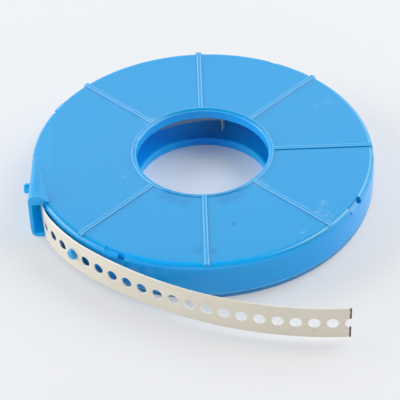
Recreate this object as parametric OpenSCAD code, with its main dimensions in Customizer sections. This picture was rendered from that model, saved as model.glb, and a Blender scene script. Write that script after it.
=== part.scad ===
// Perforated steel strap, wound in a flat round dispenser case of moulded plastic.
// The case stands on its ribbed underside, its axis is the Z axis, and the strap
// leaves the spout at -X and wraps round the front of the case to its free end.

/* [Strap] */
// Thickness of the strap
strap_t = 0.8; // [0.6:0.1:1]
// Diameter of the holes along the strap
hole_d = 5.2; // [4.8:0.1:6]
// Distance from one hole to the next
hole_pitch = 8.05; // [7.5:0.05:10]
// Length of the whole strap
strap_length = 10000; // [6000:500:12000]
// Depth of the coil from its inner turn to its outer turn
coil_depth = 30.15; // [20:0.05:32]
// Share of the room inside the coil that the bent inner end takes up
end_tab_share = 0.46; // [0.2:0.02:0.6]

/* [Tail] */
// Straight length that leaves the coil
tail_straight = 10.2; // [9:0.1:11]
// Bend radius where the strap meets the wall beside the coil
wall_bend_r = 49; // [46:1:54]
// Bend radius inside the spout
spout_bend_r = 200; // [180:5:240]
// Bend radius at the mouth of the spout
mouth_bend_r = 26; // [24:0.5:29]
// How much wider than the case the tail bends as it follows the case
wrap_slack = 10.5; // [9:0.5:20]
// Bend radius past the front of the case
loose_bend_r = 190; // [150:5:260]
// Bend radius of the free end
end_bend_r = 167; // [140:5:240]

/* [Case] */
// Radius of the case, which the coil fills
case_r = 82.5; // [76:0.5:100]
// Height of the case without its ribs, which sets the strap's width
case_h = 21.2; // [17:0.2:28]
// Wall of the lid and of the base
wall = 1.6; // [1.2:0.1:1.7]
// Thickness of the lid's roof
roof_t = 1.6; // [1.2:0.1:1.8]
// Thickness of the base's floor
floor_t = 2; // [1.4:0.1:2.2]
// Radius of the hole through the middle
bore_r = 32; // [26:0.5:36]
// Radius of the base's rounded lower edge
lower_edge_r = 3.5; // [2:0.25:3.75]
// Radius of the lid's rounded rim
rim_r = 3; // [1:0.1:3.2]
// Height of the base that shows below the lid
seam_h = 3.9; // [3.8:0.1:5]
// Clearance between the lid and the base
fit_gap = 0.2; // [0.1:0.05:0.3]
// Clearance between the coil and the wall of the base
coil_gap = 0.55; // [0.2:0.05:2]
// Clearance between the strap's upper edge and the lid
strap_gap = 0.6; // [0.3:0.1:1.5]

/* [Ribs and middle ring] */
// Width of a rib at its foot
rib_w = 3.1; // [2:0.1:5]
// Height of the ribs and of the middle ring
rib_h = 0.6; // [0.4:0.1:1]
// Gap between a rib's end and the case's outline
rib_end_gap = 0.8; // [0.6:0.1:4]
// Width of the raised ring round the hole
ring_w = 2.4; // [2:0.1:4]
// Width over which the ring slopes down to the hole
ring_slope_w = 1.4; // [1:0.1:1.8]
// Height that the ring loses over its slope
ring_slope_h = 0.9; // [0.6:0.1:1.2]
// Depth of the lid's wall round the hole
lid_collar_h = 4.7; // [2.5:0.1:6]
// Height of the base's wall round the hole above the floor
base_collar_h = 1.7; // [1.5:0.1:5]

/* [Spout] */
// Distance of the spout's mouth from the middle of the case
mouth_y = 34; // [32:0.5:36]
// Height of the wedge over the mouth
wedge_h = 3.3; // [2:0.1:4]
// Width of the wedge's flat top at the mouth
wedge_top_w = 6.6; // [5.5:0.1:7.5]
// Width that the wedge's inner side takes to slope down
wedge_slope_w = 3.3; // [1.5:0.1:4]
// Distance of the wedge's low end from the middle of the case
wedge_start_y = 1.6; // [0:0.1:6]

/* [Clips and pegs] */
// Depth of the notch in the rim for a clip
notch_h = 3.2; // [2.4:0.1:4]
// How far the notch reaches in from the rim
notch_w = 2.2; // [2:0.1:3.2]
// Clearance round a clip's hook in its notch
clip_gap = 0.15; // [0.1:0.05:0.3]
// How far a hook's top lies below the lid's top
hook_drop = 0.7; // [0.4:0.1:1.2]
// How far a hook's nose stands out of the case
hook_nose = 0.5; // [0.2:0.1:1]
// Diameter of the pegs that the strap hooks on
peg_d = 5; // [4:0.1:5]
// How far a peg stands out of the case
peg_len = 4.2; // [3:0.1:5]
// Distance of the spare peg from the middle of the case
spare_peg_y = 10.5; // [8:0.5:14]

/* [Hidden] */
$fn = 128;

// One overrun for all cuts, and one depth by which a moulded detail roots in its wall
cut = 0.5;
root = 0.4;

// Levels of the case, from the plane that it stands on, and the strap's width between them
base_z = rib_h;
floor_z = base_z + floor_t;
seam_z = base_z + seam_h;
top_z = base_z + case_h;
roof_z = top_z - roof_t;
strap_w = roof_z - strap_gap - floor_z;
strap_mid_z = floor_z + strap_w / 2;

// Radii of the walls: the lid's skirt outside, and the base's wall inside it
skirt_r_in = case_r - wall;
base_r_out = skirt_r_in - fit_gap;
base_r_in = base_r_out - wall;
base_edge_r = case_r - fit_gap;
collar_r = bore_r + wall;
ring_r = bore_r + ring_w;
lower_r = min(lower_edge_r, seam_h - fit_gap);
rib_end_r = case_r - rib_end_gap;
foot_rib_end_r = base_edge_r - lower_r - rib_end_gap;
rib_root = min(roof_t, floor_t) - fit_gap;
spout_root_r = sqrt(pow(base_edge_r - lower_edge_r, 2) - pow(mouth_y, 2)) - wall;

// The coil fills the case up to its clearance inside the base's wall, and its inner end is bent in
coil_r_out = base_r_in - coil_gap;
coil_r_in = coil_r_out - coil_depth;
end_tab = end_tab_share * (coil_r_in - collar_r);

// Directions of the ribs, of the clips and of the strap's bent inner end
rib_angles = [for (i = [-3 : 3]) i * 45];
clip_angles = [-124.3, -35.3, 55.7, 146.8];
notch_angle = 7.6;
hook_angle = 5;
hook_side_angle = 0.1;
tab_angle = 75.3;

// The sector in which the round walls open for the strap to enter the spout, and the sector before it
// in which only the base's wall opens
channel_from = 180;
channel_to = 206;
channel_lead = 6;

// The tail: a straight from inside the coil's outer turn, then arcs that turn left by their sweeps
tail_start_angle = 170;
tail_sink = 0.1;
tail_start_r = coil_r_out - strap_t / 2 - tail_sink;
tail_bend_r = [wall_bend_r, spout_bend_r, mouth_bend_r, case_r + wrap_slack, loose_bend_r, end_bend_r];
tail_sweep_angles = [14, 7.5, 18.5, 19, 15, 26.2];
arcs = len(tail_sweep_angles);

// Place and heading where each arc starts, as [x, y, heading], the last being the free end
function arc_point(at, r, turned) =
    [
        at[0] + r * (sin(at[2] + turned) - sin(at[2])),
        at[1] - r * (cos(at[2] + turned) - cos(at[2])),
        at[2] + turned
    ];
function arc_start(i) = i == 0
    ? on_straight(tail_straight)
    : arc_point(arc_start(i - 1), tail_bend_r[i - 1], tail_sweep_angles[i - 1]);
function arc_length(i) = tail_bend_r[i] * tail_sweep_angles[i] * PI / 180;
function length_before(i) = i == 0 ? tail_straight : length_before(i - 1) + arc_length(i - 1);
tail_length = length_before(arcs);

// Place and heading at a distance s along the tail
function on_straight(s) = let (a = tail_start_angle)
    [
        tail_start_r * cos(a) - s * sin(a),
        tail_start_r * sin(a) + s * cos(a),
        a + 90
    ];
function on_arc(i, s) = arc_point(arc_start(i), tail_bend_r[i],
    (s - length_before(i)) * 180 / (PI * tail_bend_r[i]));
function arc_at(s) = max([for (i = [0 : arcs - 1]) if (i == 0 || s >= length_before(i)) i]);
function on_tail(s) = s <= tail_straight ? on_straight(s) : on_arc(arc_at(s), s);

// Stations at which the tail's outline has its points, and a point beside one of them
tail_point_count = 72;
bent_length = tail_length - tail_straight;
tail_stations = [0, for (i = [0 : tail_point_count]) tail_straight + i * bent_length / tail_point_count];
function beside_tail(s, out) = let (at = on_tail(s))
    [
        at[0] + out * sin(at[2]),
        at[1] - out * cos(at[2])
    ];

// Holes on the tail, counted from the cut end, which runs through the middle of hole 0,
// and how many of them lie between that end and the one that hooks on the peg
tail_holes = floor(bent_length / hole_pitch);
peg_hole_count = 17;
function hole_place(k) = on_tail(tail_length - k * hole_pitch);
peg_place = hole_place(peg_hole_count);
peg_angle = atan2(peg_place[1], peg_place[0]);

// Turns of the coil, and the gap between them that shows on its ends
mean_turn_r = (coil_r_in + coil_r_out) / 2;
turns = floor((strap_length - tail_length) / (2 * PI * mean_turn_r));
turn_pitch = coil_depth / turns;
groove_w = max(turn_pitch - strap_t, strap_t / 4);
groove_depth = strap_t;
end_snip = strap_t / 4;

plastic = [0.2, 0.62, 0.9];
steel = [0.84, 0.83, 0.79];

// Section of a plate from r_in to r_out and from z_low to z_high, its outer lower corner rounded
module plate_section(r_in, r_out, z_low, z_high, corner_r) {
    translate([r_in, z_low])
        square([r_out - r_in - corner_r, z_high - z_low]);
    translate([r_in, z_low + corner_r])
        square([r_out - r_in, z_high - z_low - corner_r]);
    intersection() {
        translate([r_out - corner_r, z_low])
            square(corner_r);
        translate([r_out - corner_r, z_low + corner_r])
            circle(corner_r);
    }
}

// Section of a wall from r_in to r_out and from z_low to z_high
module wall_section(r_in, r_out, z_low, z_high) {
    translate([r_in, z_low])
        square([r_out - r_in, z_high - z_low]);
}

// Turns a section drawn at +X into a straight wall along -Y on the -X side, as far as the mouth
module along_spout(overrun = 0) {
    translate([0, overrun, 0])
        rotate([90, 0, 0])
            linear_extrude(mouth_y + 2 * overrun)
                mirror([1, 0])
                    children();
}

// Turns a section over part of a circle
module over_sector(from, sweep) {
    rotate([0, 0, from])
        rotate_extrude(angle = sweep)
            children();
}

// Raised ring round the hole, standing on z = 0 with its outer edge rounded
module raised_ring() {
    rotate_extrude() {
        wall_section(bore_r, ring_r, -root, 0);
        wall_section(bore_r, ring_r - rib_h, 0, rib_h);
        intersection() {
            wall_section(ring_r - rib_h, ring_r, 0, rib_h);
            translate([ring_r - rib_h, 0])
                circle(rib_h);
        }
    }
}

// One rib along +X on z = 0, from the middle ring outwards, with sloping flanks
module rib(end_r) {
    top_w = rib_w - 2 * rib_h;
    start_r = ring_r - rib_h;
    translate([start_r, 0, 0])
        rotate([90, 0, 90])
            linear_extrude(end_r - start_r)
                polygon([
                    [-rib_w / 2, -rib_root],
                    [rib_w / 2, -rib_root],
                    [rib_w / 2, 0],
                    [top_w / 2, rib_h],
                    [-top_w / 2, rib_h],
                    [-rib_w / 2, 0]
                ]);
}

// The ring and ribs that both faces of the case carry, standing on z = 0
module ribbed_face(end_r) {
    raised_ring();
    for (a = rib_angles)
        rotate([0, 0, a])
            rib(end_r);
}

// Round peg along +X from x = -root, with a domed end
module peg() {
    dome = peg_d / 4;
    rotate([0, 90, 0])
        rotate_extrude() {
            translate([0, -root])
                square([peg_d / 2, peg_len + root - dome]);
            translate([0, peg_len - dome])
                square([peg_d / 2 - dome, dome]);
            intersection() {
                translate([peg_d / 2 - dome, peg_len - dome])
                    square(dome);
                translate([peg_d / 2 - dome, peg_len - dome])
                    circle(dome);
            }
        }
}

// Hook of a clip: it rises from the base's wall and reaches out through the rim's notch
module hook() {
    low = top_z - notch_h + clip_gap;
    high = top_z - hook_drop;
    back_r = case_r - notch_w + clip_gap;
    nose_r = case_r + hook_nose;
    over_sector(hook_side_angle, hook_angle)
        polygon([
            [back_r, low - wall],
            [base_r_out, low - wall],
            [base_r_out, low],
            [nose_r, low],
            [nose_r, (low + high) / 2],
            [skirt_r_in, high],
            [back_r, high]
        ]);
}

// Dish of the case: ribbed floor, wall inside the lid's skirt, collar round the hole, and hooks
module case_base() {
    lip_z = seam_z - fit_gap;
    wall_z = roof_z - fit_gap;
    color(plastic) {
        difference() {
            rotate_extrude() {
                difference() {
                    plate_section(bore_r, base_edge_r, base_z, lip_z, lower_r);
                    wall_section(bore_r - cut, base_r_in, floor_z, lip_z + cut);
                }
                wall_section(base_r_in, base_r_out, floor_z, wall_z);
                wall_section(bore_r, collar_r, base_z, floor_z + base_collar_h);
            }
            over_sector(channel_from, channel_to - channel_from)
                wall_section(base_r_in - cut, case_r + cut, floor_z, wall_z + cut);
            over_sector(channel_from - channel_lead, channel_lead)
                wall_section(base_r_in - cut, base_r_out + fit_gap / 2, floor_z, wall_z + cut);
        }
        along_spout()
            difference() {
                plate_section(spout_root_r, base_edge_r, base_z, lip_z, lower_r);
                wall_section(spout_root_r - cut, skirt_r_in, floor_z, lip_z + cut);
            }
        translate([0, 0, base_z])
            mirror([0, 0, 1])
                ribbed_face(foot_rib_end_r);
        for (a = clip_angles)
            rotate([0, 0, a])
                hook();
    }
}

// Wedge that rises over the spout from the lid's top to its height at the mouth
module spout_wedge() {
    slice = root;
    low = top_z - rim_r;
    start_w = rim_r + slice;
    foot_w = wedge_top_w + wedge_slope_w;
    corner_step = 15;
    hull() {
        translate([-case_r, -mouth_y, 0])
            rotate([90, 0, 0])
                translate([0, 0, -slice])
                    linear_extrude(slice)
                        polygon([
                            [0, low],
                            [foot_w, low],
                            [foot_w, top_z],
                            [wedge_top_w, top_z + wedge_h],
                            for (a = [90 : -corner_step : 0])
                                [rim_r * (1 - cos(a)), low + wedge_h + rim_r * sin(a)]
                        ]);
        translate([-case_r, -wedge_start_y, 0])
            rotate([90, 0, 0])
                linear_extrude(slice)
                    polygon([
                        [0, low],
                        [start_w, low],
                        [start_w, top_z],
                        [rim_r, top_z]
                    ]);
    }
}

// Section of the lid: roof with a rounded rim, skirt, and collar round the hole
module lid_section() {
    collar_z = top_z - lid_collar_h;
    difference() {
        translate([0, top_z])
            mirror([0, 1])
                plate_section(bore_r, case_r, 0, top_z - seam_z, rim_r);
        wall_section(collar_r, skirt_r_in, seam_z - cut, roof_z);
        wall_section(bore_r - cut, collar_r + cut, seam_z - cut, collar_z);
    }
}

// Cut that slopes the ring down to the hole, on the lid's top at z = 0
module ring_slope() {
    low = rib_h - ring_slope_h;
    rotate_extrude()
        polygon([
            [bore_r - cut, low],
            [bore_r, low],
            [bore_r + ring_slope_w, rib_h],
            [bore_r + ring_slope_w, rib_h + cut],
            [bore_r - cut, rib_h + cut]
        ]);
}

// Lid of the case: roof with ribs, ring and collar, outer skirt, the spout's roof and wall, and pegs
module case_lid() {
    color(plastic) {
        difference() {
            union() {
                rotate_extrude()
                    lid_section();
                translate([0, 0, top_z])
                    ribbed_face(rib_end_r);
            }
            translate([0, 0, top_z])
                ring_slope();
            over_sector(channel_from, channel_to - channel_from)
                wall_section(skirt_r_in - cut, case_r + cut, seam_z - cut, roof_z);
            for (a = clip_angles)
                rotate([0, 0, a])
                    over_sector(0, notch_angle)
                        wall_section(case_r - notch_w, case_r + cut, top_z - notch_h, top_z + cut);
        }
        difference() {
            union() {
                along_spout()
                    translate([0, top_z])
                        mirror([0, 1])
                            plate_section(spout_root_r, case_r, 0, top_z - seam_z, rim_r);
                spout_wedge();
            }
            along_spout(cut)
                wall_section(spout_root_r - cut, skirt_r_in, seam_z - cut, roof_z);
        }
        rotate([0, 0, peg_angle])
            translate([case_r, 0, strap_mid_z])
                peg();
        translate([-case_r, -spare_peg_y, strap_mid_z])
            rotate([0, 0, 180])
                peg();
    }
}

// The coil as one turned solid, with the gap between its turns cut into both its ends
module coil() {
    rotate_extrude()
        difference() {
            wall_section(coil_r_in, coil_r_out, floor_z, floor_z + strap_w);
            for (i = [1 : turns - 1])
                translate([coil_r_in + i * turn_pitch - groove_w / 2, 0]) {
                    wall_section(0, groove_w, floor_z - cut, floor_z + groove_depth);
                    wall_section(0, groove_w, floor_z + strap_w - groove_depth, floor_z + strap_w + cut);
                }
        }
}

// The inner end of the strap, bent in from the coil, its corners snipped back by a hair
module inner_end() {
    rotate([0, 0, tab_angle])
        translate([coil_r_in - end_tab, -strap_t / 2, floor_z + end_snip])
            cube([end_tab + strap_t, strap_t, strap_w - 2 * end_snip]);
}

// The tail's blank, from inside the coil's outer turn to the free end
module tail() {
    last = len(tail_stations) - 1;
    translate([0, 0, floor_z])
        linear_extrude(strap_w)
            polygon(concat(
                [for (s = tail_stations) beside_tail(s, strap_t / 2)],
                [for (i = [last : -1 : 0]) beside_tail(tail_stations[i], -strap_t / 2)]
            ));
}

// Drill through the strap at hole k
module tail_hole(k) {
    at = hole_place(k);
    translate([at[0], at[1], strap_mid_z])
        rotate([0, 90, at[2] - 90])
            cylinder(d = hole_d, h = 4 * strap_t, center = true);
}

// The strap: coil, bent inner end, and the perforated tail, cut off through the middle of a hole
module strap() {
    color(steel)
        difference() {
            union() {
                coil();
                inner_end();
                tail();
            }
            for (k = [0 : tail_holes])
                tail_hole(k);
        }
}

case_base();
case_lid();
strap();
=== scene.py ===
import math

import bmesh
import bpy
import numpy as np
from mathutils import Matrix, Vector


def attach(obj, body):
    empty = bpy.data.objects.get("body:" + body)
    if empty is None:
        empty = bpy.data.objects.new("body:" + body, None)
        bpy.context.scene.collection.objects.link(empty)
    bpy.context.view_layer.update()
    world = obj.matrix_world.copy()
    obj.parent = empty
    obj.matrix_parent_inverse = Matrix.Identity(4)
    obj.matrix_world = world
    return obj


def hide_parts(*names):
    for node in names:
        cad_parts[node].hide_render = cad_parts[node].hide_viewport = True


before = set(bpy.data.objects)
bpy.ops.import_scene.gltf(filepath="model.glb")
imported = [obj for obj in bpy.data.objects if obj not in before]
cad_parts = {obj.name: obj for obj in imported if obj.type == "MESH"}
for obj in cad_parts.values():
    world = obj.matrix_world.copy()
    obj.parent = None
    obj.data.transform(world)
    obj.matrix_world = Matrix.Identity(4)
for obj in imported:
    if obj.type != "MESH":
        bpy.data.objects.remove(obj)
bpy.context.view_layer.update()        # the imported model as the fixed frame
print("frame loaded:", ", ".join(sorted(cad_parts)))

mm = 0.001               # sizes are written in millimetres, Blender works in metres
softEdge = 0.05          # how far the edge of a coloured band fades each way
weldGap = 0.0005         # points of a solid that are closer than this are one
cornerRoom = 0.98        # share of a side that the rounding of its two corners may take
rowGap = 0.01            # least distance of an added row of points from a corner


# Mesh tools. Shapes are made in millimetres and turned to metres when they are finished

def polar(r, degrees, z):
    return (r * math.cos(math.radians(degrees)), r * math.sin(math.radians(degrees)), z)


def addSolid(name, points, faces):
    mesh = bpy.data.meshes.new(name)
    mesh.from_pydata(points, [], faces)
    solid = bpy.data.objects.new(name, mesh)
    bpy.context.scene.collection.objects.link(solid)
    work = bmesh.new()
    work.from_mesh(mesh)
    bmesh.ops.remove_doubles(work, verts=work.verts, dist=weldGap)
    bmesh.ops.recalc_face_normals(work, faces=work.faces)
    work.to_mesh(mesh)
    work.free()
    return solid


def loft(name, stations, closed=False):
    # skins a row of outlines that have the same number of points, with a cap at each open end
    count = len(stations[0])
    points = [point for station in stations for point in station]
    faces = []
    for i in range(len(stations) if closed else len(stations) - 1):
        a, b = i * count, (i + 1) % len(stations) * count
        for j in range(count):
            k = (j + 1) % count
            faces.append((a + j, a + k, b + k, b + j))
    if not closed:
        faces.append(tuple(range(count)))
        faces.append(tuple(range(len(points) - count, len(points))))
    return addSolid(name, points, faces)


def rounded(corners, steps=4):
    # an outline from its corners (x, z, radius), each corner with the same number of points
    outline = []
    for i, (x, z, radius) in enumerate(corners):
        here = Vector((x, z))
        if not radius:
            outline.append((x, z))
            continue
        ends = []
        for x2, z2, radius2 in (corners[i - 1], corners[(i + 1) % len(corners)]):
            side = Vector((x2, z2)) - here
            room = side.length * cornerRoom * radius / (radius + radius2)
            ends.append(here + side.normalized() * min(radius, room))
        first, last = ends
        for n in range(steps + 1):
            t = n / steps
            outline.append(tuple((1 - t) ** 2 * first + 2 * t * (1 - t) * here + t * t * last))
    return outline


def split(outline, radii, low, high):
    # adds points to an outline where it crosses these radii between two levels
    result = []
    for i, (r, z) in enumerate(outline):
        rNext, zNext = outline[(i + 1) % len(outline)]
        result.append((r, z))
        crossed = [c for c in radii if min(r, rNext) + rowGap < c < max(r, rNext) - rowGap]
        if not crossed or min(z, zNext) < low or max(z, zNext) > high:
            continue
        for c in sorted(crossed, reverse=rNext < r):
            result.append((c, z + (zNext - z) * (c - r) / (rNext - r)))
    return result


def sector(name, outline, start, sweep, steps=12):
    # an outline (r, z) turned through part of a circle
    angles = [start + sweep * n / steps for n in range(steps + 1)]
    return loft(name, [[polar(r, angle, z) for r, z in outline] for angle in angles])


def settle(piece):
    # applies the piece's modifiers to its mesh
    ready = piece.evaluated_get(bpy.context.evaluated_depsgraph_get())
    mesh = bpy.data.meshes.new_from_object(ready)
    piece.modifiers.clear()
    piece.data = mesh


def soften(piece, width, steps=2, sharp=40):
    # rounds the edges of a small solid
    edge = piece.modifiers.new("edge", "BEVEL")
    edge.width = width
    edge.segments = steps
    edge.limit_method = "ANGLE"
    edge.angle_limit = math.radians(sharp)
    settle(piece)
    return piece


def combine(piece, tools, operation):
    # joins solids to a piece or cuts them out of it
    for tool in tools:
        step = piece.modifiers.new("step", "BOOLEAN")
        step.operation = operation
        step.solver = "EXACT"
        step.object = tool
        settle(piece)
        bpy.data.objects.remove(tool)


def finishPiece(piece, material, node, sharp=38):
    # metres, shading that keeps flat faces flat, material, body and the node it stands for
    piece.data.transform(Matrix.Scale(mm, 4))
    piece.data.shade_smooth()
    piece.data.set_sharp_from_angle(angle=math.radians(sharp))
    weight = piece.modifiers.new("weight", "WEIGHTED_NORMAL")
    weight.keep_sharp = True
    settle(piece)
    piece.data.materials.clear()
    piece.data.materials.append(material)
    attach(piece, "root")
    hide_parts(node)
    print(piece.name, "ready:", len(piece.data.polygons), "faces")
    return piece


# Shader tools

def addNode(tree, kind, values=None, **settings):
    node = tree.nodes.new(kind)
    for key, value in settings.items():
        setattr(node, key, value)
    for key, value in (values or {}).items():
        if isinstance(value, bpy.types.NodeSocket):
            tree.links.new(value, node.inputs[key])
        else:
            node.inputs[key].default_value = value
    return node


def newGroup(name, inputs, outputs):
    group = bpy.data.node_groups.new(name, "ShaderNodeTree")
    for socketName, kind, value in inputs:
        socket = group.interface.new_socket(name=socketName, in_out="INPUT", socket_type=kind)
        socket.default_value = value
    for socketName, kind in outputs:
        group.interface.new_socket(name=socketName, in_out="OUTPUT", socket_type=kind)
    return group, group.nodes.new("NodeGroupInput").outputs, group.nodes.new("NodeGroupOutput")


def useGroup(tree, group, values):
    node = addNode(tree, "ShaderNodeGroup", node_tree=group)
    for key, value in values.items():
        node.inputs[key].default_value = value
    return node


def noise(tree, vector, scale, detail=2, roughness=0.5):
    return addNode(tree, "ShaderNodeTexNoise",
                   {"Vector": vector, "Scale": scale, "Detail": detail, "Roughness": roughness})


def spread(tree, value, low, high, toLow=0.0, toHigh=1.0):
    # maps low..high to toLow..toHigh, held at the ends
    return addNode(tree, "ShaderNodeMapRange", {
        "Value": value, "From Min": low, "From Max": high,
        "To Min": toLow, "To Max": toHigh}).outputs["Result"]


def fade(tree, value, ends, toLow=0.0, toHigh=1.0):
    # the same between two lengths in millimetres
    return spread(tree, value, ends[0] * mm, ends[1] * mm, toLow, toHigh)


def combined(tree, operation, a, b):
    return addNode(tree, "ShaderNodeMath", {0: a, 1: b}, operation=operation).outputs[0]


def vectors(tree, operation, values, output="Vector"):
    return addNode(tree, "ShaderNodeVectorMath", values, operation=operation).outputs[output]


def blend(tree, share, colour, over):
    # lays a plain colour over another by a share
    return addNode(tree, "ShaderNodeMix", {
        "Factor": share, 6: colour, 7: (*over, 1)}, data_type="RGBA").outputs[2]


def newMaterial(name, colour):
    material = bpy.data.materials.new(name)
    material.use_nodes = True
    material.diffuse_color = (*colour, 1)
    tree = material.node_tree
    return material, tree, tree.nodes["Principled BSDF"]


# Mottle: slow, soft differences of shade and gloss over a surface
mottleGroup, given, result = newGroup(
    "mottle",
    [("Scale", "NodeSocketFloat", 20), ("Depth", "NodeSocketFloat", 0.1)],
    [("Shade", "NodeSocketFloat"), ("Gloss", "NodeSocketFloat")])
place = addNode(mottleGroup, "ShaderNodeTexCoord").outputs["Object"]
slow = noise(mottleGroup, place, given["Scale"], detail=3, roughness=0.55).outputs["Fac"]
half = combined(mottleGroup, "SUBTRACT", slow, 0.5)
swing = combined(mottleGroup, "MULTIPLY", half, given["Depth"])
shade = combined(mottleGroup, "ADD", swing, 1)
mottleGroup.links.new(shade, result.inputs["Shade"])
mottleGroup.links.new(slow, result.inputs["Gloss"])

# Streaks: thin straight scratches all over a surface, as a mask
streakShape = {"stretch": (1, 7, 1), "fade": 0.05}
streakGroup, given, result = newGroup(
    "streaks",
    [("Scale", "NodeSocketFloat", 60), ("Turn", "NodeSocketFloat", 0.7), ("Level", "NodeSocketFloat", 0.6)],
    [("Mask", "NodeSocketFloat")])
place = addNode(streakGroup, "ShaderNodeTexCoord").outputs["Object"]
turn = addNode(streakGroup, "ShaderNodeCombineXYZ", {"Z": given["Turn"]}).outputs[0]
turned = addNode(streakGroup, "ShaderNodeMapping", {
    "Vector": place, "Rotation": turn, "Scale": streakShape["stretch"]}).outputs[0]
lines = noise(streakGroup, turned, given["Scale"], detail=2, roughness=0.6).outputs["Fac"]
levelEnd = combined(streakGroup, "ADD", given["Level"], streakShape["fade"])
streaks = spread(streakGroup, lines, given["Level"], levelEnd)
streakGroup.links.new(streaks, result.inputs["Mask"])

# Specks: small dots of dust or dirt, as a mask
emptyShare = 0.93        # of the cells of the pattern have no speck
speckGroup, given, result = newGroup(
    "specks",
    [("Scale", "NodeSocketFloat", 90), ("Size", "NodeSocketFloat", 0.08)],
    [("Mask", "NodeSocketFloat")])
place = addNode(speckGroup, "ShaderNodeTexCoord").outputs["Object"]
cells = addNode(speckGroup, "ShaderNodeTexVoronoi", {"Vector": place, "Scale": given["Scale"]})
chance = addNode(speckGroup, "ShaderNodeSeparateColor", {0: cells.outputs["Color"]}).outputs[0]
some = combined(speckGroup, "GREATER_THAN", chance, emptyShare)
near = combined(speckGroup, "LESS_THAN", cells.outputs["Distance"], given["Size"])
mask = combined(speckGroup, "MULTIPLY", some, near)
speckGroup.links.new(mask, result.inputs["Mask"])

plasticLook = {
    "colour": (0.003, 0.39, 0.84),    # the blue of the moulding
    "roughness": (0.21, 0.268), "glossRange": (0.3, 0.7),
    "mottleScale": 14, "mottleDepth": 0.10,
    "speckScale": 75, "speckSize": 0.07, "speckColour": (0.03, 0.16, 0.33), "speckShare": 0.6,
    "grainScale": 900, "grainDepth": 0.00001,
    # places on the lid that are scuffed or smudged: x, y and reach, full over this share of the reach
    "scuffed": [(54.5, -42, 3), (53, -47.5, 3.6), (56.5, -50.5, 3), (43.7, -60.9, 2.2), (58, 32.5, 2.4),
                (64, 35, 2.2), (-37.7, -16.8, 1.6)],
    "smudged": [(-4, -71.5, 3.6), (3.2, -72.5, 3), (-18, -32, 4.5), (-14, -35, 5.5), (-9, -37, 5.5),
                (9, -37, 5), (13, -35.5, 5), (17, -33, 4)],
    "spotZ": 21.8, "spotCore": 0.4,
    "scuffScale": 360, "scuffTurn": 0.9, "scuffLevel": 0.56, "scuffColour": (0.42, 0.74, 0.98),
    "scuffShare": 0.65, "smudgeColour": (0.002, 0.315, 0.74),
    # painted highlight on convex edges and painted shade in inner corners, both by how pointed the surface
    # is
    "edgeColour": (0.10, 0.50, 0.93), "edgeShare": 0.6, "edgeRange": (0.515, 0.60),
    "cornerColour": (0.001, 0.27, 0.66), "cornerShare": 0.8, "cornerRange": (0.49, 0.44),
    # bands by radius and height, with the x and y between which they fade in where those are given:
    # painted shade on the base's outer band, which faces downwards, and painted shade behind the strap;
    # painted light on the rib crests, painted shade along the rib bases, and painted highlights as
    # pale lines on the rim, the ring, the edge of the middle hole and the skirt's lower edge
    "paintedShade": [{"r": (77, 83), "z": (0, 4.4)},
              {"r": (81, 83), "z": (0, 17.5), "x": (-44, -64), "y": (-18, -28)}],
    "paintedShadeColour": (0.003, 0.23, 0.56), "paintedShadeShare": 0.8,
    # painted light: the rib crests are painted paler
    "paintedLitTops": [{"r": (34.7, 81.6), "z": (22.35, 22.6), "x": (-73, -72)}],
    "paintedLitTopsColour": (0.22, 0.63, 1.0), "paintedLitTopsShare": 1.0,
    # painted shade: dark lines along the rib bases
    "paintedShadeFeet": [{"r": (34.7, 81.0), "z": (21.84, 22.06), "x": (-73, -72)}],
    "paintedShadeFeetColour": (0.0, 0.20, 0.55), "paintedShadeFeetShare": 0.95,
    # painted highlights: pale lines on the rim, the ring, the bore edge and the skirt's lower edge
    "pale": [{"r": (80.5, 80.95), "z": (21.1, 22), "x": (22, 44)},
             {"r": (33.95, 34.35), "z": (22.2, 22.6), "share": 0.8},
             {"r": (31.9, 32.35), "z": (21.6, 22.0), "share": 0.8},
             {"r": (82.3, 83), "z": (4.7, 5.2), "share": 0.8, "x": (66, 50), "y": (-38, -50)}],
    "paleColour": (0.33, 0.74, 1.0), "paleShare": 0.7,
    # painted glow, an emission that stands in for light coming through the plastic: on surfaces inside the
    # case and its spout,
    "inside": {"z": (2.5, 20.3), "r": (33.7, 78.8), "spoutX": (-80.95, -70), "mouthY": -34.2,
               "colour": (0.0, 0.032, 0.12), "spoutColour": (0.0, 0.09, 0.2),
               "left": 1.8, "leftX": (-30, 4), "right": 0.8, "rightX": (8, 26)},
    # and on the outer wall, the lid's collar, the base's collar and its two sides, the front of the rim,
    # the mouth's end, the end of the wedge and the spare peg
    "through": [{"r": (82.1, 83), "z": (4.4, 30), "x": (-62, -30), "colour": (0.0, 0.02, 0.1)},
                {"r": (31, 33.2), "z": (10, 21.9), "colour": (0.0, 0.04, 0.14)},
                {"r": (31, 33.2), "z": (0.2, 4.4), "colour": (0.0, 0.0, 0.07)},
                {"r": (31, 33.9), "z": (0.2, 4.4), "x": (-4, -22), "colour": (0.0, 0.09, 0.12)},
                {"r": (31, 33.9), "z": (0.2, 4.4), "x": (10, 26), "colour": (0.0, 0.09, 0.12)},
                {"r": (79.0, 82.3), "z": (18.9, 21.76), "x": (46, 26), "y": (-60, -74),
                 "colour": (0.0, 0.07, 0.2)},
                {"r": (80, 92), "z": (0.3, 21.9), "x": (-75.3, -75.9), "y": (-33.2, -33.7),
                 "colour": (0.0, 0.08, 0.18)},
                {"r": (70, 92), "z": (21.9, 25.3), "x": (-70, -72), "y": (-33.2, -33.7),
                 "colour": (0.0, 0.08, 0.18)},
                {"r": (82.6, 90), "z": (7, 15), "x": (-82.2, -82.6), "colour": (0.0, 0.09, 0.12)}],
}


def between(tree, value, low, high):
    # 1 between two lengths in millimetres, 0 outside
    above = fade(tree, value, (low - softEdge, low + softEdge))
    below = fade(tree, value, (high + softEdge, high - softEdge))
    return combined(tree, "MULTIPLY", above, below)


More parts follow.
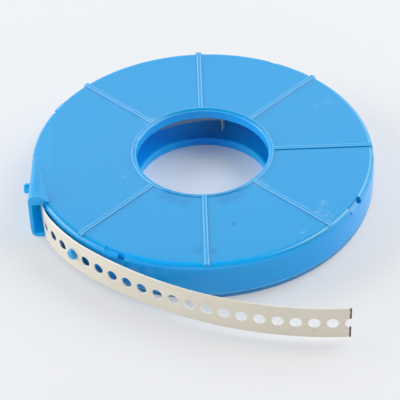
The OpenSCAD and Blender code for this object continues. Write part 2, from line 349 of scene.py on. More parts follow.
def whereIs(tree, place):
    # x, y, z and the distance from the middle hole's axis
    apart = addNode(tree, "ShaderNodeSeparateXYZ", {0: place}).outputs
    flat = addNode(tree, "ShaderNodeCombineXYZ", {"X": apart["X"], "Y": apart["Y"]}).outputs[0]
    r = vectors(tree, "LENGTH", {0: flat}, "Value")
    return {"x": apart["X"], "y": apart["Y"], "z": apart["Z"], "r": r}


def band(tree, where, limits):
    ring = between(tree, where["r"], *limits["r"])
    mask = combined(tree, "MULTIPLY", ring, between(tree, where["z"], *limits["z"]))
    for axis in ("x", "y"):
        if axis in limits:
            mask = combined(tree, "MULTIPLY", mask, fade(tree, where[axis], limits[axis]))
    return combined(tree, "MULTIPLY", mask, limits.get("share", 1.0))


def bands(tree, where, parts):
    total = 0.0
    for limits in parts:
        total = combined(tree, "MAXIMUM", total, band(tree, where, limits))
    return total


def glowOf(tree, where):
    # painted glow at a place, as one emission colour that stands in for light through the plastic
    inside = plasticLook["inside"]
    left = fade(tree, where["x"], inside["leftX"], inside["left"], 0)
    right = fade(tree, where["x"], inside["rightX"], 0, inside["right"])
    sides = combined(tree, "MAXIMUM", left, right)
    plan = combined(tree, "MULTIPLY", between(tree, where["r"], *inside["r"]), sides)
    mouth = fade(tree, where["y"], (inside["mouthY"] - softEdge, inside["mouthY"] + softEdge))
    spout = combined(tree, "MULTIPLY", between(tree, where["x"], *inside["spoutX"]), mouth)
    level = between(tree, where["z"], *inside["z"])
    parts = [(inside["colour"], combined(tree, "MULTIPLY", level, plan)),
             (inside["spoutColour"], combined(tree, "MULTIPLY", level, spout))]
    parts += [(part["colour"], band(tree, where, part)) for part in plasticLook["through"]]
    total = (0, 0, 0)
    for colour, mask in parts:
        light = vectors(tree, "SCALE", {0: colour, "Scale": mask})
        total = vectors(tree, "ADD", {0: total, 1: light})
    return total


def marked(tree, place, spots):
    # mask of soft round spots on the lid's top
    total = 0.0
    for x, y, reach in spots:
        middle = (x * mm, y * mm, plasticLook["spotZ"] * mm)
        away = vectors(tree, "DISTANCE", {0: place, 1: middle}, "Value")
        spot = fade(tree, away, (plasticLook["spotCore"] * reach, reach), 1, 0)
        total = combined(tree, "MAXIMUM", total, spot)
    return total


def casePlastic():
    look = plasticLook
    material, tree, shader = newMaterial("casePlastic", look["colour"])
    mottle = useGroup(tree, mottleGroup, {"Scale": look["mottleScale"], "Depth": look["mottleDepth"]})
    streaks = useGroup(tree, streakGroup, {
        "Scale": look["scuffScale"], "Turn": look["scuffTurn"], "Level": look["scuffLevel"]})
    specks = useGroup(tree, speckGroup, {"Scale": look["speckScale"], "Size": look["speckSize"]})
    place = addNode(tree, "ShaderNodeTexCoord").outputs["Object"]
    where = whereIs(tree, place)
    bend = addNode(tree, "ShaderNodeNewGeometry").outputs["Pointiness"]
    colour = vectors(tree, "SCALE", {0: look["colour"], "Scale": mottle.outputs["Shade"]})
    # painted highlight on convex edges, painted shade in inner corners
    for part in ("edge", "corner"):
        share = spread(tree, bend, *look[part + "Range"], 0, look[part + "Share"])
        colour = blend(tree, share, colour, look[part + "Colour"])
    # painted shade, painted light on the rib crests, painted shade at the rib bases and painted highlight
    # lines
    for part in ("paintedShade", "paintedLitTops", "paintedShadeFeet", "pale"):
        share = spread(tree, bands(tree, where, look[part]), 0, 1, 0, look[part + "Share"])
        colour = blend(tree, share, colour, look[part + "Colour"])
    colour = blend(tree, marked(tree, place, look["smudged"]), colour, look["smudgeColour"])
    worn = combined(tree, "MULTIPLY", marked(tree, place, look["scuffed"]), streaks.outputs["Mask"])
    colour = blend(tree, spread(tree, worn, 0, 1, 0, look["scuffShare"]), colour, look["scuffColour"])
    dirt = spread(tree, specks.outputs["Mask"], 0, 1, 0, look["speckShare"])
    colour = blend(tree, dirt, colour, look["speckColour"])
    tree.links.new(colour, shader.inputs["Base Color"])
    gloss = spread(tree, mottle.outputs["Gloss"], *look["glossRange"], *look["roughness"])
    tree.links.new(gloss, shader.inputs["Roughness"])
    # painted glow: emission that stands in for light through the plastic
    tree.links.new(glowOf(tree, where), shader.inputs["Emission Color"])
    shader.inputs["Emission Strength"].default_value = 1
    grain = noise(tree, place, look["grainScale"]).outputs["Fac"]
    bump = addNode(tree, "ShaderNodeBump", {"Height": grain, "Distance": look["grainDepth"], "Strength": 1})
    tree.links.new(bump.outputs[0], shader.inputs["Normal"])
    return material


# The strap's sizes, which its material needs too
strapSize = {
    "width": 17, "thickness": 0.8, "lowZ": 2.6, "holeR": 2.6, "pitch": 8.05, "edge": 0.12,
    "tabAngle": 75.3, "tabTip": 41.6, "tabBendR": 3, "tabSteps": 12, "tabBendSteps": 16,
    "coilStartR": 48.8, "coilEndR": 78.05, "coilEndAngle": 170, "turns": 23,
    # where the loose inner turns bulge and where the first one dips: angle turned, width of that, height
    "bulges": [(9, 9, 1.5), (369, 12, 1.1), (729, 14, 0.7), (1089, 16, 0.3)], "firstTurn": 90,
    "dip": (60, 45, 1.9),
    # a straight, then the radius and sweep of each bend
    "straight": 10.2, "bends": [(49, 14), (200, 7.5), (26, 18.5), (93, 19), (190, 15), (167, 26.2)],
    "straightSteps": 24, "bendSteps": 60,
    "innerLevels": [1.7, 4.2], "holeTurn": -67.5,
    "fineFrom": 320, "fineEnd": 260,     # the coil's inner turn and the tail have finely cut holes
    "blankLeast": 0.5, "blankSteps": 6, "weldGap": 0.002, "sharp": 50,
}

steelLook = {
    "colour": (0.86, 0.80, 0.665),
    "roughness": (0.38, 0.52), "glossRange": (0.3, 0.7),
    "metallic": 0.25,
    "mottleScale": 45, "mottleDepth": 0.10,
    "speckScale": 260, "speckSize": 0.16, "speckColour": (0.52, 0.49, 0.41), "speckShare": 0.35,
    "grainScale": (60, 2400, 1), "grainDepth": 0.000006,
    # the dark cut end with its torn line
    "cutColour": (0.05, 0.04, 0.035), "cutWidth": 1.1, "cutFade": 1.4, "tornScale": 900,
    # painted highlight: the upper edge is painted white above this height, less towards the cut end by the
    # distance from it
    "edgeColour": (1, 1, 0.97), "edgeFrom": 8.22, "edgeAlong": (70, 130), "edgeLeast": 0.25,
    # painted highlight on the rims and walls of the holes
    "rimHighlightShare": 0.8,     # pale rims and walls of the holes
}


def strapSteel():
    look = steelLook
    material, tree, shader = newMaterial("strapSteel", look["colour"])
    mottle = useGroup(tree, mottleGroup, {"Scale": look["mottleScale"], "Depth": look["mottleDepth"]})
    specks = useGroup(tree, speckGroup, {"Scale": look["speckScale"], "Size": look["speckSize"]})
    along = addNode(tree, "ShaderNodeUVMap", uv_map="strapMap").outputs[0]
    apart = addNode(tree, "ShaderNodeSeparateXYZ", {0: along}).outputs
    torn = noise(tree, along, look["tornScale"]).outputs["Fac"]
    fromCut = addNode(tree, "ShaderNodeMath", {0: torn, 1: look["cutWidth"] * mm, 2: apart["X"]},
                      operation="MULTIPLY_ADD").outputs[0]
    cut = fade(tree, fromCut, (look["cutWidth"], look["cutWidth"] * look["cutFade"]), 1, 0)
    # painted highlight along the upper edge
    upper = fade(tree, apart["Y"], (look["edgeFrom"], look["edgeFrom"] + softEdge))
    away = fade(tree, apart["X"], look["edgeAlong"], look["edgeLeast"], 1)
    upperEdgeHighlight = combined(tree, "MULTIPLY", upper, away)
    # painted highlight round the holes
    half = strapSize["pitch"] / 2 * mm
    fromHole = addNode(tree, "ShaderNodeMath", {0: apart["X"], 1: half, 2: -half},
                       operation="WRAP").outputs[0]
    spoke = addNode(tree, "ShaderNodeCombineXYZ", {"X": fromHole, "Y": apart["Y"]}).outputs[0]
    reach = vectors(tree, "LENGTH", {0: spoke}, "Value")
    rimEnd = strapSize["holeR"] + strapSize["edge"]
    holeRimHighlight = fade(tree, reach, (rimEnd, rimEnd + softEdge), look["rimHighlightShare"], 0)
    colour = vectors(tree, "SCALE", {0: look["colour"], "Scale": mottle.outputs["Shade"]})
    stain = spread(tree, specks.outputs["Mask"], 0, 1, 0, look["speckShare"])
    colour = blend(tree, stain, colour, look["speckColour"])
    # painted highlights along the upper edge and round the holes
    colour = blend(tree, combined(tree, "MAXIMUM", upperEdgeHighlight, holeRimHighlight), colour, look["edgeColour"])
    colour = blend(tree, cut, colour, look["cutColour"])
    tree.links.new(colour, shader.inputs["Base Color"])
    gloss = spread(tree, mottle.outputs["Gloss"], *look["glossRange"], *look["roughness"])
    tree.links.new(gloss, shader.inputs["Roughness"])
    shader.inputs["Metallic"].default_value = look["metallic"]
    stretched = addNode(tree, "ShaderNodeMapping", {"Vector": along, "Scale": look["grainScale"]}).outputs[0]
    grain = noise(tree, stretched, 1).outputs["Fac"]
    bump = addNode(tree, "ShaderNodeBump", {"Height": grain, "Distance": look["grainDepth"], "Strength": 1})
    tree.links.new(bump.outputs[0], shader.inputs["Normal"])
    return material


plastic = casePlastic()
steel = strapSteel()
print("materials ready")


# The case: what lid and base share

caseSize = {
    "outerR": 82.5, "boreR": 32, "wall": 1.6, "fitGap": 0.2,
    "topZ": 21.8, "roofZ": 20.2, "seamZ": 4.5, "footZ": 0.6, "floorZ": 2.6,
    "rimR": 3.3, "lowerEdgeR": 3.5, "ringW": 2.4, "edge": 0.3, "foot": 0.15,
    "mouthY": 34, "mouthEdge": 0.2, "channelFrom": 180, "channelSweep": 26, "channelLead": 6, "leadLap": 0.1,
    "spoutInX": 69.5, "spoutFromY": 0.6,    # the spout's plates start inside the case's
    "stepAngle": 2.4,
    # rows of points across the ribs: the first past the ring's foot, then evenly, then at the ribs' ends
    "footRow": 0.6, "rowsFrom": 38, "rowStep": 6, "endRow": 0.02,
    "near": 0.1,     # faces no further than this from a level belong to it
    "drop": 0.01,    # keeps the faces of solids that are joined apart
    "over": 1, "cutIn": 0.3,    # how far a cutter reaches outwards and inwards past a wall
}

lidSize = {
    "ringSlopeW": 1.4, "ringSlopeH": 0.9, "slopeFootR": 0.4, "slopeTopR": 0.3, "ringTopIn": 0.2,
    "ringTopR": 0.25, "ringFootOut": 0.15, "collarH": 4.7, "rimRow": 80.8, "slopeRow": 0.25,
    "roofRows": [75, 60, 48, 38], "faceDepth": 1.2,
}

wedgeSize = {"height": 3.3, "topW": 6.6, "slopeW": 3.3, "startW": 3.4, "startY": 1.6, "steps": 8,
             "fillet": 1.2, "topR": 0.5, "footOut": 0.05}

baseSize = {
    "collarTop": 4.3, "ringInR": 0.55, "ringOutR": 0.45, "ringFootOut": 0.1, "lipR": 0.15, "lipFootR": 0.1,
    "slopeRow": 0.3, "floorRows": [72, 60, 48, 38], "faceDepth": 0.1,
}

ribSize = {
    "angles": [n * 45 for n in range(-3, 4)],
    "height": 0.6, "endGap": 0.8, "startGap": 1.5,
    # half of the section: distance from the middle, and share of the height
    "section": [(0, 0.80), (0.45, 0.84), (0.72, 1.0), (0.92, 0.98), (1.04, 0.86), (1.40, 0.16),
                (1.55, 0.04), (1.75, 0)],
}

clipSize = {
    "angles": [-124.3, -35.3, 55.7, 146.8],
    "notchAngle": 7.6, "notchH": 3.2, "notchW": 2.2, "notchEdge": 0.35,
    "hookFrom": 0.1, "hookAngle": 5, "hookDrop": 0.7, "hookEdge": 0.25, "nose": 0.5, "gap": 0.15,
}

pegSize = {"diameter": 5, "length": 4.2, "dome": 1.25, "root": 0.5, "level": 11.1,
           "strapAngle": -136.24, "spareY": 10.5, "sides": 40}


def shellColumns():
    # (rib angle, next rib angle, share of the way between them, offset across the rib, share of its height)
    angles = ribSize["angles"]
    halfSection = ribSize["section"]
    across = [(-y, h) for y, h in reversed(halfSection[1:])] + halfSection
    columns = []
    for n, angle in enumerate(angles):
        following = angles[n + 1] if n + 1 < len(angles) else angles[0] + 360
        columns += [(angle, following, 0, y, h) for y, h in across]
        steps = round((following - angle) / caseSize["stepAngle"])
        columns += [(angle, following, k / steps, None, 0) for k in range(1, steps)]
    return columns


def columnAngle(column, r):
    angle, following, share, offset, _ = column
    if offset is not None:
        return angle + math.degrees(math.asin(offset / r))
    edge = math.degrees(math.asin(ribSize["section"][-1][0] / r))
    return (angle + edge) * (1 - share) + (following - edge) * share


def shell(name, outline, level, side, ribEnd, faceDepth):
    # turns an outline into a closed shell whose face at this level carries the ribs; side is +1 up, -1 down
    ribStart = caseSize["boreR"] + ribSize["startGap"]
    stations = []
    for column in shellColumns():
        station = []
        for r, z in outline:
            target = level + side * ribSize["height"] * column[4]
            onFace = side * (z - level) > -faceDepth and ribStart < r < ribEnd
            if column[4] and onFace and side * (target - z) > 0:
                z = target
            station.append(polar(r, columnAngle(column, r), z))
        stations.append(station)
    return loft(name, stations, closed=True)


def faceRows(ringEnd, ribEnd, slopeRow):
    # radii at which a ribbed face has rows of points
    rows = list(range(caseSize["rowsFrom"], int(ribEnd), caseSize["rowStep"]))
    ends = [ribEnd - slopeRow, ribEnd - caseSize["endRow"], ribEnd + caseSize["endRow"]]
    return [ringEnd + caseSize["footRow"]] + rows + ends


def atSpout(outline, y):
    # an outline (distance outwards, z) on the straight -X side of the case
    return [(-x, y, z) for x, z in outline]


def roundMouth(piece, width):
    # rounds the edges round the end of a spout wall
    work = bmesh.new()
    work.from_mesh(piece.data)
    ends = [e for e in work.edges if all(abs(v.co.y + caseSize["mouthY"]) < 0.001 for v in e.verts)]
    bmesh.ops.bevel(work, geom=ends, offset=width, segments=2, profile=0.5, affect="EDGES")
    work.to_mesh(piece.data)
    work.free()
    return piece


def peg(name, place, direction):
    size = pegSize
    r = size["diameter"] / 2
    corners = [(-size["root"], 0, 0), (-size["root"], r, 0), (size["length"], r, size["dome"]),
               (size["length"], 0, 0)]
    outline = rounded(corners, 6)
    out = Vector(direction)
    side = Vector((-out.y, out.x, 0))
    up = Vector((0, 0, 1))
    stations = []
    for n in range(size["sides"]):
        turn = 2 * math.pi * n / size["sides"]
        spoke = side * math.cos(turn) + up * math.sin(turn)
        stations.append([tuple(Vector(place) + out * x + spoke * y) for x, y in outline])
    return loft(name, stations, closed=True)


# The lid

def buildLid():
    size = caseSize
    outer, bore, wall, top, roof = size["outerR"], size["boreR"], size["wall"], size["topZ"], size["roofZ"]
    ribTop = top + ribSize["height"]
    ringEnd = bore + size["ringW"]
    ribEnd = outer - ribSize["endGap"]
    collarZ = top - lidSize["collarH"]
    edge, drop, over, cutIn = size["edge"], size["drop"], size["over"], size["cutIn"]
    outline = rounded([
        (bore, collarZ, edge),
        (bore, ribTop - lidSize["ringSlopeH"], lidSize["slopeFootR"]),
        (bore + lidSize["ringSlopeW"], ribTop, lidSize["slopeTopR"]),
        (ringEnd - lidSize["ringTopIn"], ribTop, lidSize["ringTopR"]),
        (ringEnd + lidSize["ringFootOut"], top, size["foot"]),
        (outer, top, size["rimR"]),
        (outer, size["seamZ"], edge),
        (outer - wall, size["seamZ"], edge),
        (outer - wall, roof, edge),
        (bore + wall, roof, edge),
        (bore + wall, collarZ, edge),
    ], 5)
    rows = faceRows(ringEnd, ribEnd, lidSize["slopeRow"]) + [lidSize["rimRow"]]
    outline = split(outline, rows, roof + size["near"], ribTop)
    outline = split(outline, lidSize["roofRows"], roof - size["near"], roof + size["near"])
    lid = shell("caseLid", outline, top, 1, ribEnd, lidSize["faceDepth"])

    # the skirt opens where the strap goes into the spout, and the rim has a notch for each clip
    inner = outer - wall - cutIn
    opening = [(inner, size["seamZ"] - over), (outer + over, size["seamZ"] - over),
               (outer + over, roof + drop), (inner, roof + drop)]
    tools = [sector("opening", opening, size["channelFrom"], size["channelSweep"])]
    notchIn, notchZ = outer - clipSize["notchW"], top - clipSize["notchH"]
    notch = [(notchIn, notchZ), (outer + over, notchZ), (outer + over, top + over), (notchIn, top + over)]
    for angle in clipSize["angles"]:
        tools.append(soften(sector("notch", notch, angle, clipSize["notchAngle"]), clipSize["notchEdge"]))
    combine(lid, tools, "DIFFERENCE")

    # the spout: roof, wall and the wedge that rises to the mouth, drawn as one outline that changes along it
    wedge = wedgeSize
    innerX = size["spoutInX"]
    stations = []
    for n in range(-1, wedge["steps"] + 1):
        share = max(n, 0) / wedge["steps"]
        y = size["spoutFromY"] if n < 0 else -wedge["startY"] - share * (size["mouthY"] - wedge["startY"])
        rise = wedge["height"] * share
        topW = wedge["startW"] + (wedge["topW"] - wedge["startW"]) * share
        footW = topW + wedge["slopeW"] * share + wedge["footOut"]
        stations.append(atSpout(rounded([
            (innerX, top - drop, 0),
            (outer - footW, top - drop, wedge["fillet"]),
            (outer - topW, top - drop + rise, wedge["topR"]),
            (outer, top - drop + rise, size["rimR"]),
            (outer, size["seamZ"], edge),
            (outer - wall, size["seamZ"], edge),
            (outer - wall, roof - drop, edge),
            (innerX, roof - drop, 0),
        ], 5), y))
    spout = roundMouth(loft("spout", stations), size["mouthEdge"])
    out = polar(1, pegSize["strapAngle"], 0)
    hung = peg("peg", polar(outer, pegSize["strapAngle"], pegSize["level"]), out)
    spare = peg("peg", (-outer, -pegSize["spareY"], pegSize["level"]), (-1, 0, 0))
    combine(lid, [spout, hung, spare], "UNION")
    return finishPiece(lid, plastic, "case_lid")


# The base

def buildBase():
    size = caseSize
    bore, wall, foot, floor = size["boreR"], size["wall"], size["footZ"], size["floorZ"]
    outer = size["outerR"] - size["fitGap"]
    lip = size["seamZ"] - size["fitGap"]
    wallOut = size["outerR"] - wall - size["fitGap"]
    wallTop = size["roofZ"] - size["fitGap"]
    ringEnd = bore + size["ringW"]
    ribEnd = outer - size["lowerEdgeR"] - ribSize["endGap"]
    ribLow = foot - ribSize["height"]
    edge, drop, over = size["edge"], size["drop"], size["over"]
    outline = rounded([
        (bore, baseSize["collarTop"], edge),
        (bore, ribLow, baseSize["ringInR"]),
        ((bore + ringEnd) / 2, ribLow, 0),
        (ringEnd, ribLow, baseSize["ringOutR"]),
        (ringEnd + baseSize["ringFootOut"], foot, size["foot"]),
        (outer, foot, size["lowerEdgeR"]),
        (outer, lip, baseSize["lipR"]),
        (wallOut, lip, baseSize["lipFootR"]),
        (wallOut, wallTop, edge),
        (wallOut - wall, wallTop, edge),
        (wallOut - wall, floor, edge),
        (bore + wall, floor, edge),
        (bore + wall, baseSize["collarTop"], edge),
    ], 6)
    rows = faceRows(ringEnd, ribEnd, baseSize["slopeRow"])
    outline = split(outline, rows, ribLow, foot + size["near"])
    outline = split(outline, baseSize["floorRows"], floor - size["near"], floor + size["near"])
    base = shell("caseBase", outline, foot, -1, ribEnd, baseSize["faceDepth"])

    # the inner wall opens where the strap leaves the coil, with a lead-in cut into its outer side
    inner = wallOut - wall - size["cutIn"]
    leadOut = wallOut + size["near"]
    opening = [(inner, floor + drop), (outer + over, floor + drop),
               (outer + over, wallTop + over), (inner, wallTop + over)]
    lead = [(inner, floor + drop), (leadOut, floor + drop),
            (leadOut, wallTop + over), (inner, wallTop + over)]
    leadFrom = size["channelFrom"] - size["channelLead"]
    combine(base, [
        sector("opening", opening, size["channelFrom"], size["channelSweep"]),
        sector("lead", lead, leadFrom, size["channelLead"] + size["leadLap"]),
    ], "DIFFERENCE")

    innerX = size["spoutInX"]
    lipIn = size["outerR"] - wall
    spoutOutline = rounded([
        (innerX, foot + drop, 0),
        (outer, foot + drop, size["lowerEdgeR"]),
        (outer, lip, edge),
        (lipIn, lip, edge),
        (lipIn, floor - drop, edge),
        (innerX, floor - drop, 0),
    ], 6)
    ends = [atSpout(spoutOutline, y) for y in (size["spoutFromY"], -size["mouthY"])]
    tools = [roundMouth(loft("spoutFloor", ends), size["mouthEdge"])]
    low = size["topZ"] - clipSize["notchH"] + clipSize["gap"]
    high = size["topZ"] - clipSize["hookDrop"]
    back = size["outerR"] - clipSize["notchW"] + clipSize["gap"]
    nose = size["outerR"] + clipSize["nose"]
    hook = [(back, low - wall), (wallOut, low - wall), (wallOut, low), (nose, low),
            (nose, (low + high) / 2), (lipIn, high), (back, high)]
    for angle in clipSize["angles"]:
        solid = sector("hook", hook, angle + clipSize["hookFrom"], clipSize["hookAngle"])
        tools.append(soften(solid, clipSize["hookEdge"]))
    combine(base, tools, "UNION")
    return finishPiece(base, plastic, "case_base")


# The strap: one band from the bent inner end through the coil to the cut end of the tail

def coilRadius(turned):
    # mean radius of the band after turning this many degrees; the loose inner turns bulge and dip a little
    size = strapSize
    end = size["coilEndAngle"] - size["tabAngle"] + 360 * size["turns"]
    r = size["coilStartR"] + (size["coilEndR"] - size["coilStartR"]) * turned / end
    bulge = 0
    for at, width, height in size["bulges"]:
        before = 0 if at < size["firstTurn"] else -360
        bulge = bulge + height * np.exp(-(np.maximum(turned - at, before) / width) ** 2)
    dipAt, dipWidth, dipHeight = size["dip"]
    return r + bulge - dipHeight * np.exp(-((turned - dipAt) / dipWidth) ** 2)


def strapLine():
    # middle line of the band seen from above: distance along it, x, y and heading
    size = strapSize
    start = math.radians(size["tabAngle"])
    radial = np.array([math.cos(start), math.sin(start)])
    around = np.array([-math.sin(start), math.cos(start)])
    bendR = size["tabBendR"]
    firstTurned = math.degrees(math.atan2(bendR, size["coilStartR"]))
    coilR = float(coilRadius(np.array(firstTurned))) * math.cos(math.radians(firstTurned))
    tab = [radial * r for r in np.linspace(size["tabTip"], coilR - bendR, size["tabSteps"])]
    bend = [radial * (coilR - bendR + bendR * math.sin(a)) + around * bendR * (1 - math.cos(a))
            for a in np.linspace(0, math.pi / 2, size["tabBendSteps"])[1:]]
    turned = np.arange(firstTurned + 1, size["coilEndAngle"] - size["tabAngle"] + 360 * size["turns"], 1)
    angle = start + np.radians(turned)
    r = coilRadius(turned)
    coil = list(np.stack([r * np.cos(angle), r * np.sin(angle)], 1))
    heading = math.radians(size["coilEndAngle"]) + math.pi / 2
    at = size["coilEndR"] * np.array([math.cos(heading - math.pi / 2), math.sin(heading - math.pi / 2)])
    ahead = np.array([math.cos(heading), math.sin(heading)])
    tail = [at + s * ahead for s in np.linspace(0, size["straight"], size["straightSteps"])]
    for radius, sweep in size["bends"]:
        at = tail[-1]
        for a in np.radians(np.linspace(0, sweep, size["bendSteps"])[1:]):
            tail.append(at + radius * np.array([math.sin(heading + a) - math.sin(heading),
                                                math.cos(heading) - math.cos(heading + a)]))
        heading += math.radians(sweep)
    line = np.array(tab + bend + coil + tail)
    along = np.concatenate([[0], np.cumsum(np.linalg.norm(np.diff(line, axis=0), axis=1))])
    headings = np.unwrap(np.arctan2(np.gradient(line[:, 1], along), np.gradient(line[:, 0], along)))
    return along, line[:, 0], line[:, 1], headings


def bandLevels():
    # heights of the points along the band's faces, from its middle
    edge = strapSize["width"] / 2 - strapSize["edge"]
    inner = strapSize["innerLevels"]
    return [-edge] + [-w for w in reversed(inner)] + [0] + inner + [edge]


def holeCell(fine):
    # one pitch of the band laid flat: points (along, outwards, up) and faces; fine: with a rolled hole edge
    size = strapSize
    half, tall, thick = size["pitch"] / 2, size["width"] / 2, size["thickness"] / 2
    edge, r = size["edge"], size["holeR"]
    levels = bandLevels()
    border = ([(half, w) for w in levels] + [(0, levels[-1])]
              + [(-half, w) for w in reversed(levels)] + [(0, levels[0])])
    sides = len(border)
    perSide = 2 if fine else 1
    holeCount = sides * perSide
    points, faces = [], []

    def ring(radius, out):
        first = len(points)
        for n in range(holeCount):
            a = math.radians(size["holeTurn"] + 360 * n / holeCount)
            points.append((radius * math.cos(a), out, radius * math.sin(a)))
        return first

    faceRings = []
    for out in (thick, -thick):
        first = len(points)
        points.extend((u, out, w) for u, w in border)
        hole = ring(r + edge if fine else r, out)
        faceRings.append((first, hole))
        for j in range(sides):
            a, b = first + j, first + (j + 1) % sides
            if fine:
                h = [hole + (2 * j + k) % holeCount for k in range(3)]
                faces += [(a, h[0], h[1]), (a, h[1], b), (b, h[1], h[2])]
            else:
                faces.append((a, b, hole + (j + 1) % holeCount, hole + j))
    walls = [faceRings[0][1]]
    if fine:
        walls += [ring(r, thick - edge), ring(r, edge - thick)]
    walls.append(faceRings[1][1])
    for a, b in zip(walls, walls[1:]):
        for n in range(holeCount):
            m = (n + 1) % holeCount
            faces.append((a + n, a + m, b + m, b + n))
    for end in (1, -1):
        first = len(points)
        for u in (half, 0, -half):
            points.extend([(u, thick, end * (tall - edge)), (u, thick - edge, end * tall),
                           (u, edge - thick, end * tall), (u, -thick, end * (tall - edge))])
        for k in range(2):
            for n in range(3):
                a = first + 4 * k + n
                faces.append((a, a + 1, a + 5, a + 4))
    return np.array(points), faces


def bandEnd(u, hole):
    # the flat end of the band at u, whole or on both sides of a half hole
    size = strapSize
    tall, thick, edge, r = size["width"] / 2, size["thickness"] / 2, size["edge"], size["holeR"]
    top = [(u, thick, tall - edge), (u, thick - edge, tall),
           (u, edge - thick, tall), (u, -thick, tall - edge)]
    if hole:
        bottom = [(u, -thick, r + edge), (u, edge - thick, r), (u, thick - edge, r), (u, thick, r + edge)]
        upper = top + bottom
        return upper + [(x, n, -w) for x, n, w in upper], [tuple(range(8)), tuple(range(8, 16))]
    low = [(x, n, -w) for x, n, w in reversed(top)]
    levels = bandLevels()[1:-1]
    back = [(u, -thick, w) for w in reversed(levels)]
    front = [(u, thick, w) for w in levels]
    loop = top + back + low + front
    return loop, [tuple(range(len(loop)))]


def buildStrap():
    size = strapSize
    along, lineX, lineY, heading = strapLine()
    length = along[-1]
    pitch = size["pitch"]
    # whole cells between the half hole and the blank inner end
    count = int((length - pitch / 2 - size["blankLeast"]) / pitch)
    blank = length - pitch / 2 - count * pitch
    templates = {fine: holeCell(fine) for fine in (True, False)}
    allPoints, allFaces = [], []
    total = 0

    def put(points, faces):
        nonlocal total
        allPoints.append(points)
        allFaces.extend(tuple(total + v for v in face) for face in faces)
        total += len(points)

    for n in range(count):
        middle = blank + (n + 0.5) * pitch
        fine = middle < size["fineFrom"] or middle > length - size["fineEnd"]
        points, faces = templates[fine]
        put(points + np.array([middle, 0, 0]), faces)
    points, faces = templates[True]
    kept = [face for face in faces if all(points[v][0] < weldGap for v in face)]
    put(points + np.array([length, 0, 0]), kept)
    points, faces = bandEnd(length, True)
    put(np.array(points), faces)
    # the blank inner end, skinned between its two ends
    points, faces = bandEnd(0, False)
    put(np.array(points), faces)
    ring = np.array(points)
    steps = size["blankSteps"]
    skin, skinFaces = [], []
    for k in range(steps + 1):
        skin.extend(ring + np.array([blank * k / steps, 0, 0]))
    for k in range(steps):
        for j in range(len(ring)):
            m = (j + 1) % len(ring)
            a, b = k * len(ring), (k + 1) * len(ring)
            skinFaces.append((a + j, a + m, b + m, b + j))
    put(np.array(skin), skinFaces)

    flat = np.concatenate(allPoints)
    s, out, up = flat[:, 0], flat[:, 1], flat[:, 2]
    h = np.interp(s, along, heading)
    x = np.interp(s, along, lineX) + out * np.sin(h)
    y = np.interp(s, along, lineY) - out * np.cos(h)
    z = up + size["lowZ"] + size["width"] / 2
    mesh = bpy.data.meshes.new("strapBand")
    mesh.from_pydata(np.stack([x, y, z], 1).tolist(), [], allFaces)
    # the map holds the distance from the cut end and the height, in metres
    layer = mesh.uv_layers.new(name="strapMap")
    corner = np.empty(len(mesh.loops), dtype=np.int32)
    mesh.loops.foreach_get("vertex_index", corner)
    layer.data.foreach_set("uv", np.stack([(length - s[corner]) * mm, up[corner] * mm], 1).ravel())
    strap = bpy.data.objects.new("strapBand", mesh)
    bpy.context.scene.collection.objects.link(strap)
    work = bmesh.new()
    work.from_mesh(mesh)
    bmesh.ops.remove_doubles(work, verts=work.verts, dist=size["weldGap"])
    bmesh.ops.recalc_face_normals(work, faces=work.faces)
    print("strap: open edges", sum(1 for e in work.edges if not e.is_manifold), "length", round(length))
    work.to_mesh(mesh)
    work.free()
    return finishPiece(strap, steel, "strap", size["sharp"])


buildLid()
buildBase()
buildStrap()


# Camera: where the photo was taken from, worked out from the case's ellipses

cameraView = {
    "place": (-2.05, -623.6, 518.9), "elevation": 40.253, "roll": -2.1071, "focalPixels": 1652.63,
    "imagePixels": 400, "sensor": 36, "clip": (0.01, 20),
}


def addCamera():
    view = cameraView
    down = math.radians(view["elevation"])
    roll = math.radians(view["roll"])
    right = Vector((1, 0, 0))
    up = Vector((0, math.sin(down), math.cos(down)))
    back = Vector((0, -math.cos(down), math.sin(down)))
    rolledRight = right * math.cos(roll) + up * math.sin(roll)
    rolledUp = -right * math.sin(roll) + up * math.cos(roll)
    data = bpy.data.cameras.new("camera")
    data.sensor_width = view["sensor"]
    data.lens = view["focalPixels"] / view["imagePixels"] * view["sensor"]
    data.clip_start, data.clip_end = view["clip"]
    camera = bpy.data.objects.new("camera", data)
    turn = Matrix((rolledRight, rolledUp, back)).transposed().to_4x4()
    camera.matrix_world = Matrix.Translation(Vector(view["place"]) * mm) @ turn
    bpy.context.scene.collection.objects.link(camera)
    bpy.context.scene.camera = camera


# Studio: pale floor, soft lamps, pale world

studio = {
    "floorSize": 6, "floorColour": (0.85, 0.86, 0.87), "floorRoughness": 0.6,
    # the world's colour at these heights over the horizon, from 0 at the horizon to 1 overhead
    "sky": [(0, (1.2, 1.2, 1.25)), (0.3, (1.2, 1.2, 1.25)), (0.5, (0.13, 0.13, 0.13)),
            (1, (0.13, 0.13, 0.13))],
    "skyFront": 0.28, "skyTurn": (-0.9, -0.1),    # share of that on the camera's side, and where it ends
    # name, place and size in metres, power in watts and colour
    "lamps": [("right", (1.15, 0.35, 1.1), (1.2, 1.2), 14.8, (1, 1, 0.98)),
              ("left", (-1.45, 0.15, 0.65), (1.2, 1.2), 17.9, (0.94, 0.97, 1)),
              ("back", (0, 1.35, 1.13), (3.4, 0.55), 8.5, (1, 1, 1)),
              ("front", (0, -1.5, 0.55), (1.2, 1.2), 3.5, (1, 1, 1))],
    # share of pale colour in the floor as seen; less inside the case's hole and least at the hole's back,
    # which paints shade on the floor there, with the hole's radius and the y between which it falls in
    # metres; the hole's bluish colour is painted blue light bounced from the plastic
    "lift": 0.4, "liftColour": (0.95, 0.965, 1.0),
    "holeR": 0.034, "holeLift": 0.22, "holeBackLift": 0.06, "holeY": (0.004, 0.028),
    "holeBounceColour": (1.0, 1.25, 1.6),
}


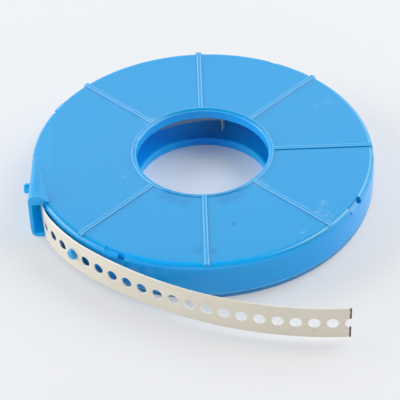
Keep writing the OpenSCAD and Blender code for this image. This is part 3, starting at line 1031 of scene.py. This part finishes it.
def addStudio():
    half = studio["floorSize"] / 2
    mesh = bpy.data.meshes.new("floor")
    corners = [(-half, -half, 0), (half, -half, 0), (half, half, 0), (-half, half, 0)]
    mesh.from_pydata(corners, [], [(0, 1, 2, 3)])
    floor = bpy.data.objects.new("floor", mesh)
    bpy.context.scene.collection.objects.link(floor)
    material, tree, shader = newMaterial("paleFloor", studio["floorColour"])
    shader.inputs["Base Color"].default_value = (*studio["floorColour"], 1)
    shader.inputs["Roughness"].default_value = studio["floorRoughness"]
    # what the camera and reflections see of the floor is lifted a little, so that its shadows stay pale
    ray = addNode(tree, "ShaderNodeLightPath").outputs
    seen = ray["Is Camera Ray"]
    for kind in ("Is Glossy Ray", "Is Transmission Ray"):
        seen = combined(tree, "MAXIMUM", seen, ray[kind])
    spot = addNode(tree, "ShaderNodeTexCoord").outputs["Object"]
    # inside the hole the pale share is lower and bluish: painted shade, deepest at the back, and painted
    # blue bounced light
    hole = combined(tree, "LESS_THAN", vectors(tree, "LENGTH", {0: spot}, "Value"), studio["holeR"])
    y = addNode(tree, "ShaderNodeSeparateXYZ", {0: spot}).outputs["Y"]
    holeLift = spread(tree, y, *studio["holeY"], studio["holeLift"], studio["holeBackLift"])
    lift = spread(tree, hole, 0, 1, studio["lift"], holeLift)
    share = combined(tree, "MULTIPLY", seen, lift)
    colour = blend(tree, hole, (*studio["liftColour"], 1), studio["holeBounceColour"])
    pale = addNode(tree, "ShaderNodeEmission", {"Color": colour}).outputs[0]
    mixed = addNode(tree, "ShaderNodeMixShader", {0: share, 1: shader.outputs[0], 2: pale}).outputs[0]
    tree.links.new(mixed, tree.nodes["Material Output"].inputs["Surface"])
    mesh.materials.append(material)
    world = bpy.data.worlds.new("studio")
    world.use_nodes = True
    bpy.context.scene.world = world
    sky = world.node_tree
    direction = addNode(sky, "ShaderNodeTexCoord").outputs["Generated"]
    apart = addNode(sky, "ShaderNodeSeparateXYZ", {0: direction}).outputs
    ramp = addNode(sky, "ShaderNodeValToRGB", {"Fac": apart["Z"]})
    side = spread(sky, apart["Y"], *studio["skyTurn"], studio["skyFront"], 1)
    stops = ramp.color_ramp.elements
    for place, colour in studio["sky"][1:-1]:
        stops.new(place)
    for stop, (place, colour) in zip(stops, studio["sky"]):
        stop.position = place
        stop.color = (*colour, 1)
    sky.links.new(ramp.outputs["Color"], sky.nodes["Background"].inputs["Color"])
    sky.links.new(side, sky.nodes["Background"].inputs["Strength"])
    for name, place, size, power, colour in studio["lamps"]:
        data = bpy.data.lights.new(name, "AREA")
        data.shape = "RECTANGLE"
        data.size, data.size_y = size
        data.energy = power
        data.color = colour
        lamp = bpy.data.objects.new(name, data)
        lamp.location = place
        lamp.rotation_mode = "QUATERNION"
        lamp.rotation_quaternion = (Vector((0, 0, 0)) - Vector(place)).to_track_quat("-Z", "Y")
        bpy.context.scene.collection.objects.link(lamp)


addCamera()
addStudio()
bpy.context.scene.view_settings.view_transform = "Standard"
print("camera and studio ready")
